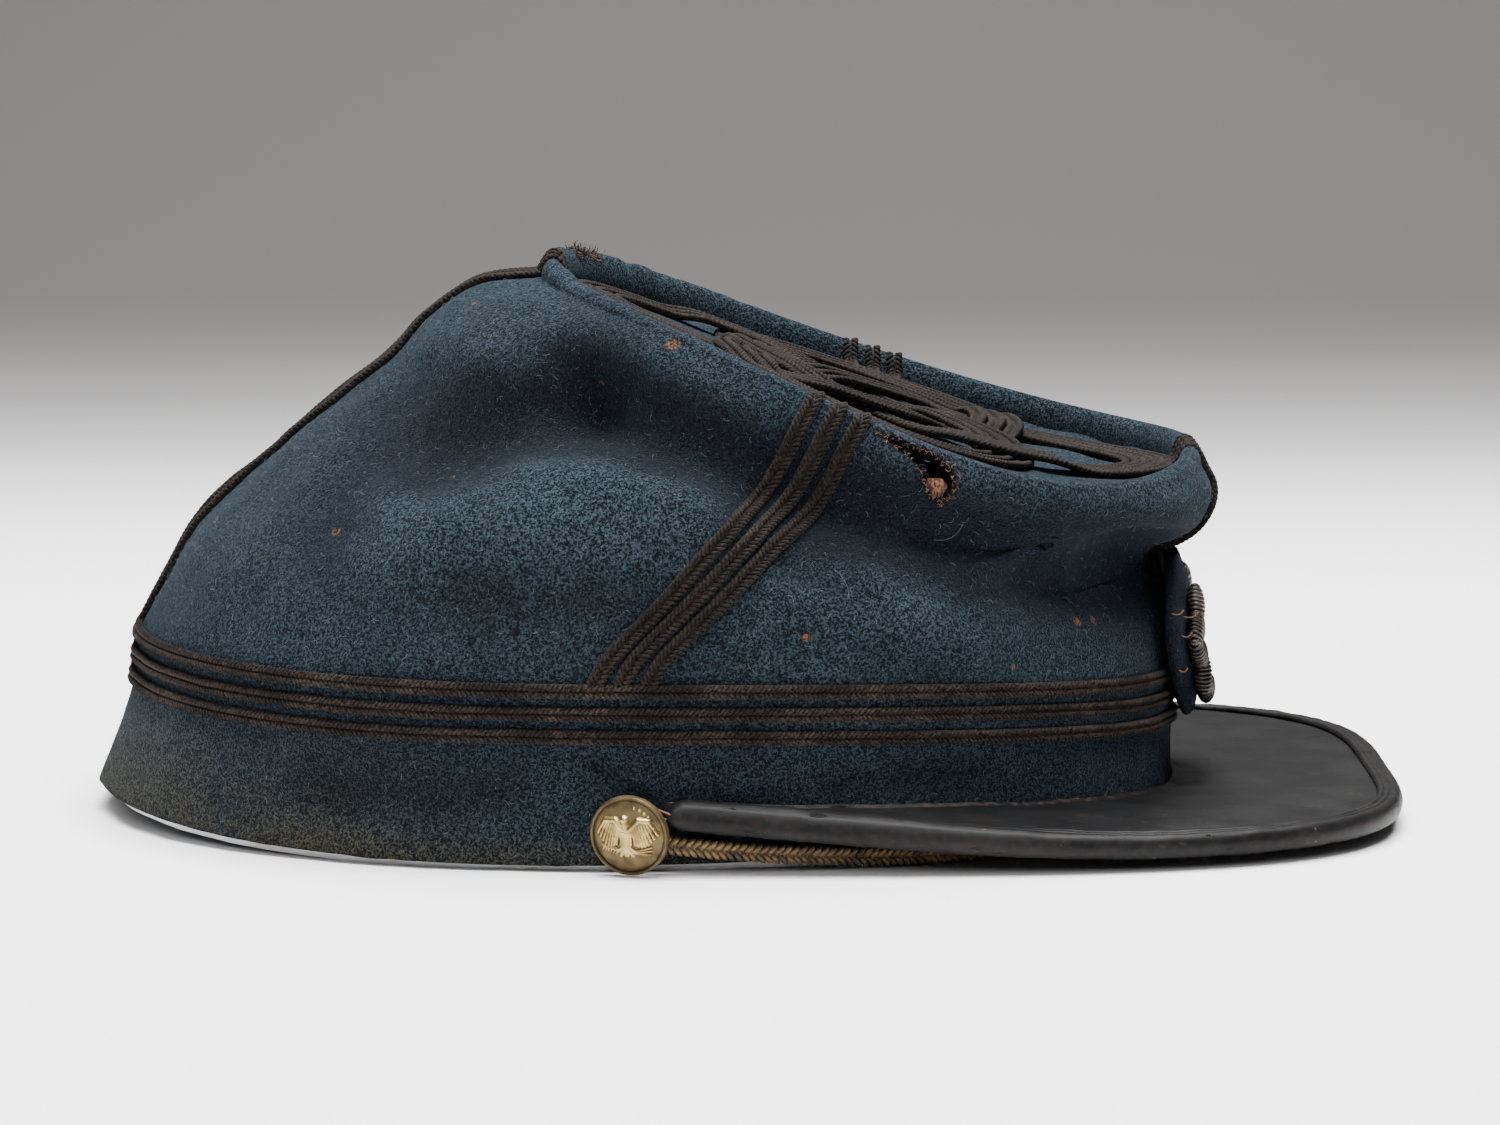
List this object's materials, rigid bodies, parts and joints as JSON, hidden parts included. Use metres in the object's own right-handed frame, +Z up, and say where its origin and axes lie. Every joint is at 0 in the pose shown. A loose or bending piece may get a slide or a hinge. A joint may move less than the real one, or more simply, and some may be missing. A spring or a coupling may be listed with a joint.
{
  "type": "chasseur kepi",
  "caption": "Soft dark blue wool kepi with a sunken forward-tilted crown, black seam braid, flat black leather visor, gilt chin cord and domed side buttons.",
  "frame": {"origin": "centre of the bounding box in plan, at the level of the sweatband's lower edge, which is the surface the cap rests on", "axes": "+X towards the visor, +Y towards the wearer's left, +Z up"},
  "size_m": [0.2558, 0.1824, 0.1103],
  "materials": {
    "wool_cloth": "dark blue wool broadcloth, worn and faded",
    "braid": "flat plaited black worsted braid, worn brown",
    "visor_leather": "black enamelled leather, cracked gloss",
    "pale_leather": "matt grey-white leather",
    "brass": "gilt brass with dark patina in the recesses",
    "gilt_cord": "tarnished gilt plait",
    "bullion": "tarnished black wire bullion"
  },
  "bodies": {
    "root": {"band": "wool_cloth", "crown_side": "wool_cloth", "crown_disc": "wool_cloth", "sweatband": "pale_leather", "band_braid_1": "braid", "band_braid_2": "braid", "band_braid_3": "braid", "front_braid_1": "braid", "front_braid_2": "braid", "front_braid_3": "braid", "left_braid_1": "braid", "left_braid_2": "braid", "left_braid_3": "braid", "rear_braid_1": "braid", "rear_braid_2": "braid", "rear_braid_3": "braid", "right_braid_1": "braid", "right_braid_2": "braid", "right_braid_3": "braid", "knot_strand_1": "braid", "knot_strand_2": "braid", "knot_strand_3": "braid", "visor": "visor_leather", "visor_binding": "visor_leather", "button_right": "brass", "button_left": "brass", "chin_cord": "gilt_cord", "badge_patch": "wool_cloth", "badge_wreath": "bullion"}
  },
  "joints": []
}
